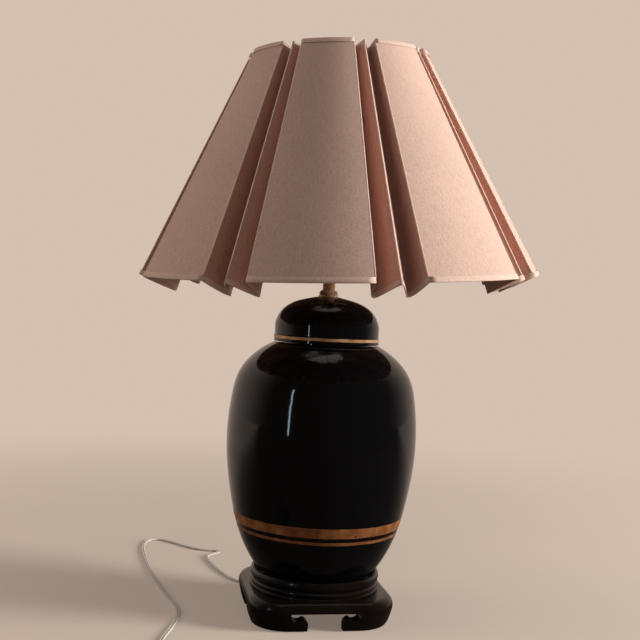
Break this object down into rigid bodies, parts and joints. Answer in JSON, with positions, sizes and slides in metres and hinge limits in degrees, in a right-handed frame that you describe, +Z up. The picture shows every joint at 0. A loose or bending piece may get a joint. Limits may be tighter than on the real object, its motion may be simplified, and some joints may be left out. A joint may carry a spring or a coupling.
{
  "type": "ginger jar lamp",
  "caption": "Table lamp: a black lidded ginger jar with gold bands on a carved dark wood stand, under a box-pleated empire shade of slubbed silk, with a white flat cord and plug.",
  "frame": {"origin": "on the jar's vertical axis, at the surface that the felt pads stand on", "axes": "+Z up; the stand's four faces look along +X, -X, +Y and -Y; the cord leaves under the back, +Y; the switch knob points to the front, -Y"},
  "size_m": [0.5974, 0.6081, 0.7149],
  "materials": {
    "dark_wood": "satin lacquer",
    "steel": "plated",
    "felt": "matte",
    "rubber": "matte",
    "black_glaze": "gloss, with gold bands",
    "brass": "satin",
    "phenolic": "moulded",
    "card": "matte",
    "glass": "frosted",
    "wire": "enamel",
    "silk": "slubbed silk on stiff backing",
    "binding": "folded strip",
    "white_flex": "semi-gloss",
    "contact_brass": "plain"
  },
  "bodies": {
    "base": {"stand_frame": "dark_wood", "stand_ring": "dark_wood", "frame_screws": "steel", "felt_pads": "felt", "jar_gasket": "rubber", "jar": "black_glaze", "lid": "black_glaze", "lamp_pipe": "steel", "base_washer": "steel", "base_lock_washer": "steel", "base_nut": "steel", "check_ring": "brass", "neck_tube": "brass", "harp_saddle": "brass", "saddle_locknut": "steel", "socket_cap": "brass", "cap_set_screw": "steel", "socket_interior": "phenolic", "terminal_screws": "brass", "screw_shell": "brass", "centre_contact": "brass", "socket_liner": "card", "socket_shell": "brass", "harp": "brass", "cord_bushing": "phenolic", "cord_inside": "white_flex", "cord_run": "white_flex", "cord_coil": "white_flex", "plug_body": "white_flex", "plug_blades": "contact_brass"},
    "switch": {"switch_shaft": "steel", "switch_knob": "phenolic"},
    "bulb": {"bulb_cap": "brass", "bulb_glass": "glass"},
    "ferrule_left": {"harp_ferrule_left": "brass"},
    "ferrule_right": {"harp_ferrule_right": "brass"},
    "shade": {"shade_top_frame": "wire", "shade_bottom_frame": "wire", "shade_ribs": "wire", "shade_panel_1": "silk", "shade_panel_2": "silk", "shade_panel_3": "silk", "shade_panel_4": "silk", "shade_panel_5": "silk", "shade_panel_6": "silk", "shade_panel_7": "silk", "shade_panel_8": "silk", "shade_gore_1": "silk", "shade_gore_2": "silk", "shade_gore_3": "silk", "shade_gore_4": "silk", "shade_gore_5": "silk", "shade_gore_6": "silk", "shade_gore_7": "silk", "shade_gore_8": "silk", "shade_top_binding": "binding", "shade_bottom_binding": "binding"},
    "finial": {"finial": "brass"}
  },
  "joints": [
    {"name": "switch_turn", "type": "hinge", "parent": "base", "child": "switch", "pos_m": [0, -0.018, 0.4668], "axis": [0, -1, 0], "continuous": true},
    {"name": "bulb_turn", "type": "hinge", "parent": "base", "child": "bulb", "pos_m": [0, 0, 0.4845], "axis": [0, 0, 1], "continuous": true},
    {"name": "ferrule_left_lift", "type": "slide", "parent": "base", "child": "ferrule_left", "axis": [0, 0, 1], "range_m": [0, 0.008]},
    {"name": "ferrule_right_lift", "type": "slide", "parent": "base", "child": "ferrule_right", "axis": [0, 0, 1], "range_m": [0, 0.008]},
    {"name": "shade_lift", "type": "slide", "parent": "base", "child": "shade", "axis": [-0.0631, -0.0601, 0.9962], "range_m": [0, 0.28]},
    {"name": "finial_turn", "type": "hinge", "parent": "shade", "child": "finial", "pos_m": [0, 0, 0.6495], "axis": [-0.0631, -0.0601, 0.9962], "continuous": true}
  ]
}
